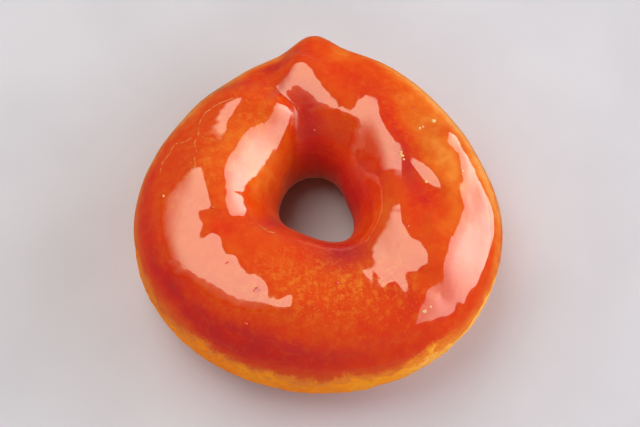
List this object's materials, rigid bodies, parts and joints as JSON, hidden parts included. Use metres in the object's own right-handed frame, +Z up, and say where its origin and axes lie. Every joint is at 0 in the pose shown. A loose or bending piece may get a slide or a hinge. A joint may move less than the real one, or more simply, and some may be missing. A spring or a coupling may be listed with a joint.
{
  "type": "mochi doughnut",
  "caption": "Ring doughnut of chewy fried dough with a lapped hand-made join, a small peak at the rear and a glossy red-orange glaze over its golden crust.",
  "frame": {"origin": "middle of the ring's outline on the plane that it rests on", "axes": "+Z up, -Y towards the viewer of the picture, +Y towards the join and the peak at the rear, +X to the right"},
  "size_m": [0.0866, 0.0916, 0.0334],
  "materials": {
    "glaze": "wet-looking sugar glaze, orange where thin and deep red where it pools, mirror-like highlights",
    "crust": "matt fried golden crust with fine grain"
  },
  "bodies": {
    "root": {"doughnut": "glaze"}
  },
  "joints": []
}
